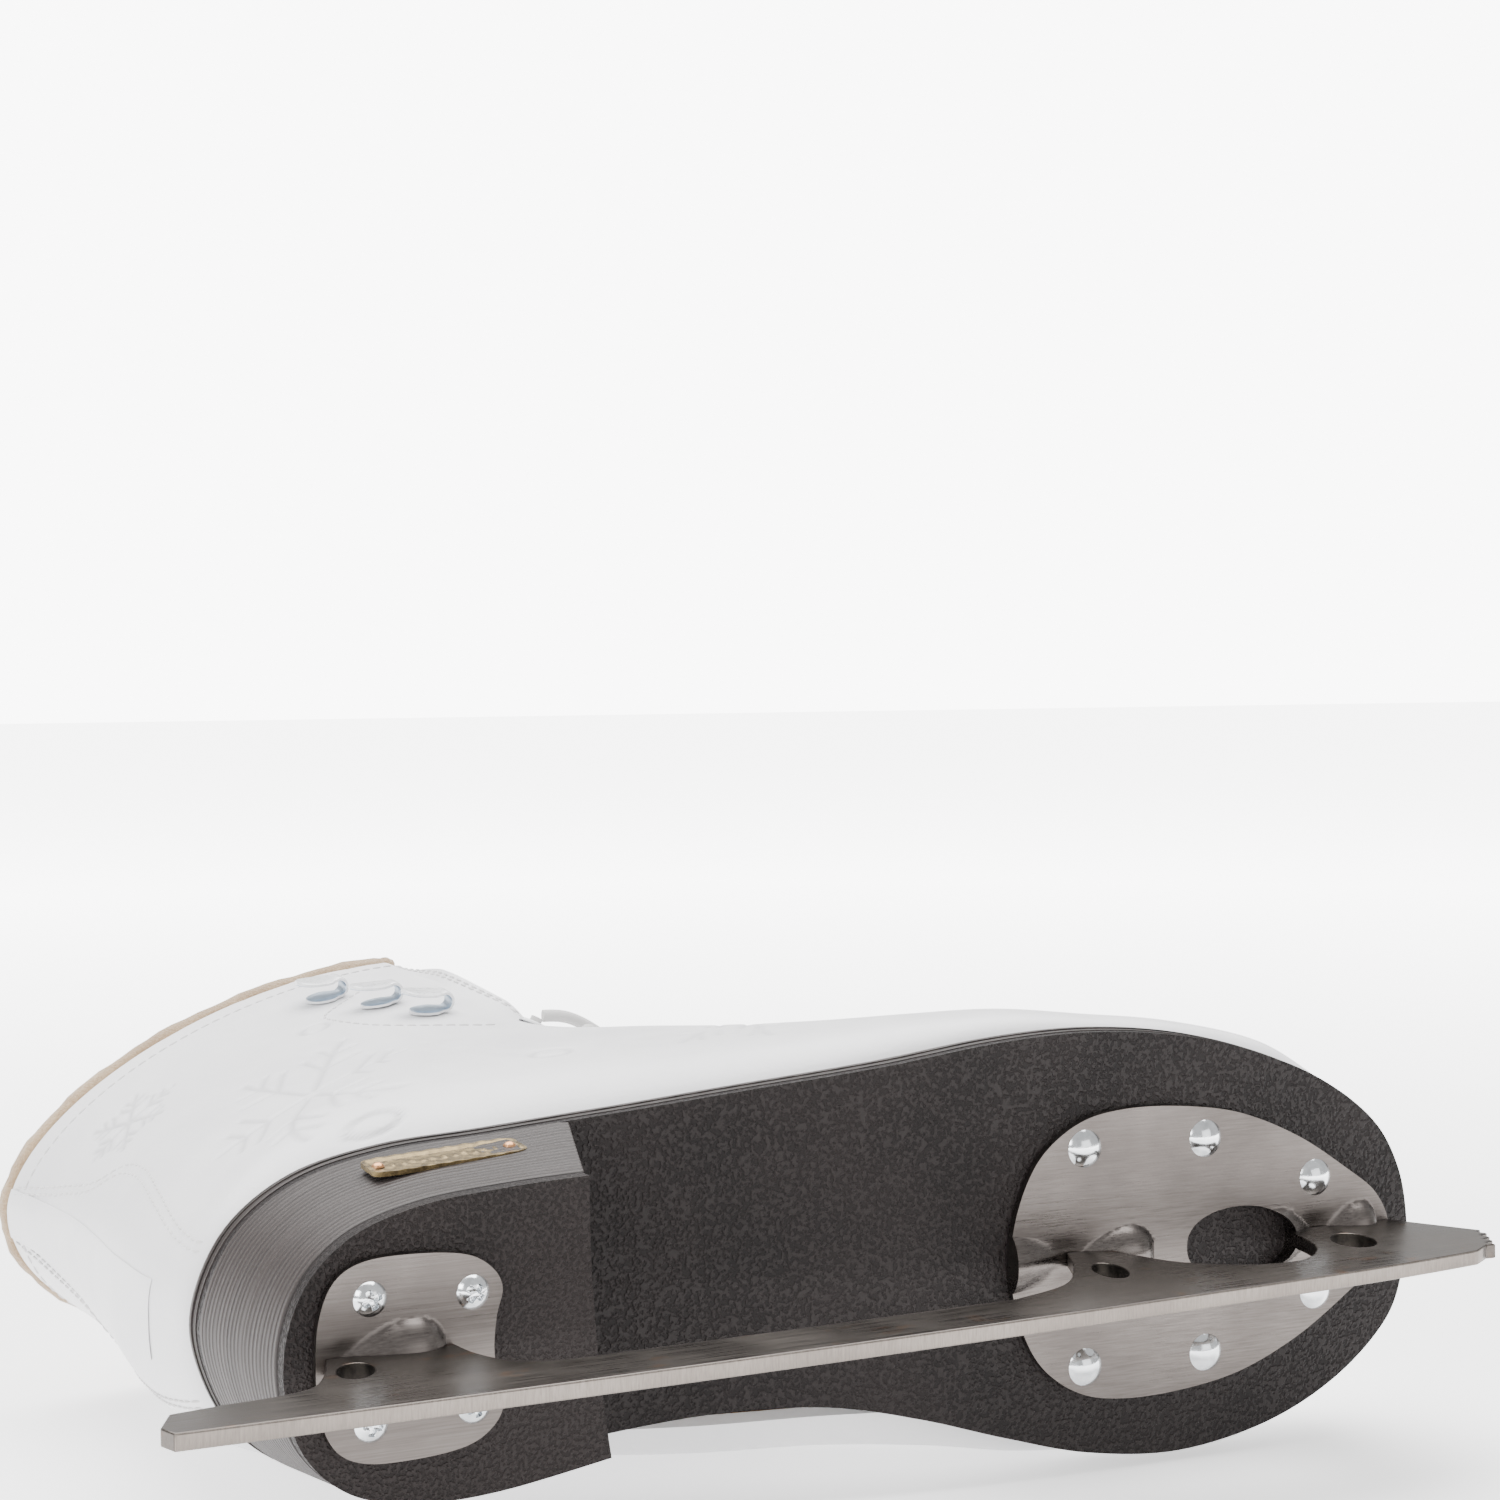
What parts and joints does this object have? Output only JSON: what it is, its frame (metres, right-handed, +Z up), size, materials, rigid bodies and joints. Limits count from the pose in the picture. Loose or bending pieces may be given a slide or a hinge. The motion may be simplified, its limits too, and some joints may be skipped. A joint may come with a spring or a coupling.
{
  "type": "figure skate",
  "caption": "White lace-up figure skate with a riveted steel blade, stacked leather heel, lace hooks and a tongue whose padded top folds forward.",
  "frame": {"origin": "bottom centre of the box around the skate as it lies on its inner side, without the free lace ends", "axes": "+X from heel to toe along the blade, +Y from the running edge up the shaft, +Z up to the outer side of the boot"},
  "size_m": [0.304, 0.2435, 0.1005],
  "materials": {
    "blade_steel": "ground and brushed",
    "plate_steel": "brushed, warm grey",
    "fastener_steel": "bright plated",
    "sole_leather": "dark, coarse grain",
    "midsole_leather": "smooth sanded edge",
    "heel_leather": "ribbed stacked layers",
    "name_brass": "antique",
    "shank_steel": "plain",
    "board": "bonded leather board",
    "footbed_cloth": "foam covered with cloth",
    "white_leather": "smooth white",
    "stiffener": "stiffened felt",
    "fleece": "brushed fleece",
    "padding": "foam",
    "white_metal": "white enamel",
    "lace_cord": "woven"
  },
  "bodies": {
    "boot": {"blade": "blade_steel", "sole_plate": "plate_steel", "heel_plate": "plate_steel", "sole_rivets": "fastener_steel", "heel_screws": "fastener_steel", "outsole": "sole_leather", "midsole": "midsole_leather", "welt": "midsole_leather", "heel_lift": "sole_leather", "heel_stack": "heel_leather", "nameplate": "name_brass", "nameplate_pins": "name_brass", "shank": "shank_steel", "insole_board": "board", "footbed": "footbed_cloth", "vamp": "white_leather", "toe_puff": "stiffener", "vamp_lining": "fleece", "quarter_lateral": "white_leather", "quarter_medial": "white_leather", "heel_counter": "stiffener", "backstay": "white_leather", "quarter_lining": "fleece", "collar_pad": "padding", "facing_lateral": "white_leather", "facing_medial": "white_leather", "eyelets_lateral": "white_metal", "eyelets_medial": "white_metal", "hook_lateral_1": "white_metal", "hook_lateral_2": "white_metal", "hook_lateral_3": "white_metal", "hook_medial_1": "white_metal", "hook_medial_2": "white_metal", "hook_medial_3": "white_metal", "tongue_base": "white_leather", "tongue_base_lining": "fleece", "lace": "lace_cord", "lace_end_lateral": "lace_cord", "lace_end_medial": "lace_cord", "lace_coil_lateral": "lace_cord", "lace_coil_medial": "lace_cord"},
    "tongue_flap": {"tongue_flap": "white_leather", "tongue_flap_lining": "fleece"}
  },
  "joints": [
    {"name": "tongue_fold", "type": "hinge", "parent": "boot", "child": "tongue_flap", "pos_m": [-0.0152, 0.0523, 0.0476], "axis": [0, 0, -1], "range_deg": [0, 55]}
  ]
}
